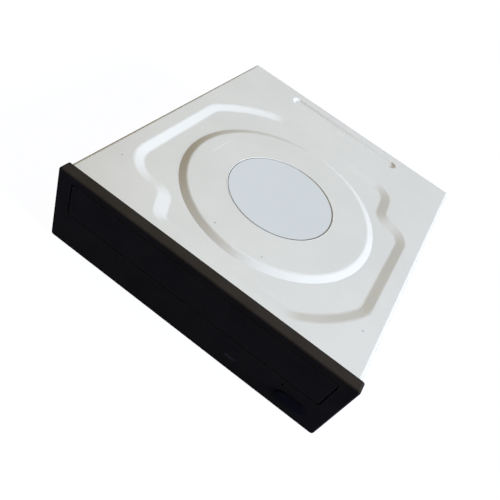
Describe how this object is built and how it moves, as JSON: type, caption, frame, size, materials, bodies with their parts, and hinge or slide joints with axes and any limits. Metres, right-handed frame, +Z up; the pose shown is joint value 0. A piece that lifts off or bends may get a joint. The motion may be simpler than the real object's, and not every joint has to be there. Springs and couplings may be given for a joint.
{
  "type": "internal disc drive",
  "caption": "Half-height bay disc drive: pressed steel case, black front with a sliding disc tray, eject button, and a full loading and reading mechanism inside.",
  "frame": {"origin": "centre of the drive's footprint, at the foot of the bezel", "axes": "+X to the right seen from the front, +Y to the rear, +Z up through the cover"},
  "size_m": [0.1486, 0.1704, 0.042],
  "materials": {
    "cover_steel": "pale satin steel, zinc plated",
    "plate_steel": "zinc plated steel",
    "label_film": "plain pale blue-grey film",
    "bezel_black": "fine grained black moulding",
    "button_black": "smooth black moulding",
    "frame_black": "black moulding",
    "tray_black": "black moulding",
    "clear_guide": "clear plastic",
    "board_green": "solder mask",
    "chip_black": "moulded package",
    "part_white": "white acetal",
    "socket_ivory": "ivory plastic",
    "motor_steel": "plated can",
    "bright_steel": "ground steel",
    "rubber_black": "soft rubber",
    "sled_metal": "die-cast alloy",
    "screw_zinc": "zinc plated",
    "can_silver": "printed can without marks",
    "motor_core": "laminated core"
  },
  "bodies": {
    "case": {"top_cover": "cover_steel", "bottom_plate": "plate_steel", "main_frame": "frame_black", "front_bezel": "bezel_black", "centre_label": "label_film", "light_guide": "clear_guide", "front_board": "board_green", "eject_switch": "chip_black", "activity_lamp": "clear_guide", "loading_motor": "motor_steel", "drive_belt": "rubber_black", "clamp_bridge": "plate_steel", "main_board": "board_green", "controller_chip": "chip_black", "driver_chip": "chip_black", "memory_chip": "chip_black", "capacitors": "can_silver", "ribbon_sockets": "socket_ivory", "rear_connector": "chip_black", "case_screws": "screw_zinc", "board_screws": "screw_zinc", "bridge_screws": "screw_zinc"},
    "tray": {"disc_tray": "tray_black", "tray_door": "bezel_black"},
    "button": {"eject_button": "button_black"},
    "pulley": {"motor_pulley": "part_white"},
    "belt_wheel": {"pulley_gear": "part_white"},
    "rack_gear": {"drive_gear": "part_white"},
    "slider": {"cam_slider": "part_white"},
    "deck": {"lift_frame": "frame_black", "mechanism_plate": "plate_steel", "damping_bushes": "rubber_black", "shoulder_screws": "screw_zinc", "spindle_motor": "motor_core", "guide_rods": "bright_steel", "feed_motor": "motor_steel"},
    "table": {"turntable": "frame_black", "friction_ring": "rubber_black"},
    "sled": {"pickup_sled": "sled_metal"},
    "lens": {"lens_holder": "chip_black"},
    "feed_screw": {"lead_screw": "bright_steel"},
    "clamp": {"clamp_disc": "frame_black"}
  },
  "joints": [
    {"name": "tray_slide", "type": "slide", "parent": "case", "child": "tray", "axis": [0, -1, 0], "range_m": [0, 0.136]},
    {"name": "drive_gear_spin", "type": "hinge", "parent": "case", "child": "rack_gear", "pos_m": [-0.046, -0.0655, 0.018], "axis": [0, 0, 1], "range_deg": [-10, 880]},
    {"name": "pulley_gear_spin", "type": "hinge", "parent": "case", "child": "belt_wheel", "pos_m": [-0.03154, -0.0655, 0.016], "axis": [0, 0, 1], "range_deg": [-2620, 20]},
    {"name": "motor_pulley_spin", "type": "hinge", "parent": "case", "child": "pulley", "pos_m": [-0.00754, -0.0655, 0.015], "axis": [0, 0, 1], "range_deg": [-10450, 40]},
    {"name": "eject_press", "type": "slide", "parent": "case", "child": "button", "axis": [0, 1, 0], "range_m": [0, 0.0009], "stiffness_N_per_m": 600},
    {"name": "cam_slide", "type": "slide", "parent": "case", "child": "slider", "axis": [1, 0, 0], "range_m": [0, 0.014]},
    {"name": "deck_tilt", "type": "hinge", "parent": "case", "child": "deck", "pos_m": [0, 0.0707, 0.015], "axis": [1, 0, 0], "range_deg": [0, 4.6]},
    {"name": "disc_spin", "type": "hinge", "parent": "deck", "child": "table", "pos_m": [0, -0.0149, 0.02], "axis": [0, 0, 1], "continuous": true},
    {"name": "sled_slide", "type": "slide", "parent": "deck", "child": "sled", "axis": [0, 1, 0], "range_m": [0, 0.035]},
    {"name": "lead_screw_spin", "type": "hinge", "parent": "deck", "child": "feed_screw", "pos_m": [0.034, 0.0207, 0.0171], "axis": [0, 1, 0], "range_deg": [-5, 4205]},
    {"name": "lens_focus", "type": "slide", "parent": "sled", "child": "lens", "axis": [0, 0, 1], "range_m": [-0.0006, 0.0006], "stiffness_N_per_m": 40},
    {"name": "clamp_spin", "type": "hinge", "parent": "case", "child": "clamp", "pos_m": [0, -0.0149, 0.0325], "axis": [0, 0, 1], "continuous": true}
  ],
  "couplings": [
    {"joint": "drive_gear_spin", "follows": "tray_slide", "rad_per_m": 111.11},
    {"joint": "pulley_gear_spin", "follows": "tray_slide", "rad_per_m": -333.33},
    {"joint": "motor_pulley_spin", "follows": "tray_slide", "rad_per_m": -1333.3},
    {"joint": "deck_tilt", "follows": "cam_slide", "rad_per_m": 5.61},
    {"joint": "lead_screw_spin", "follows": "sled_slide", "rad_per_m": 2094.4}
  ]
}
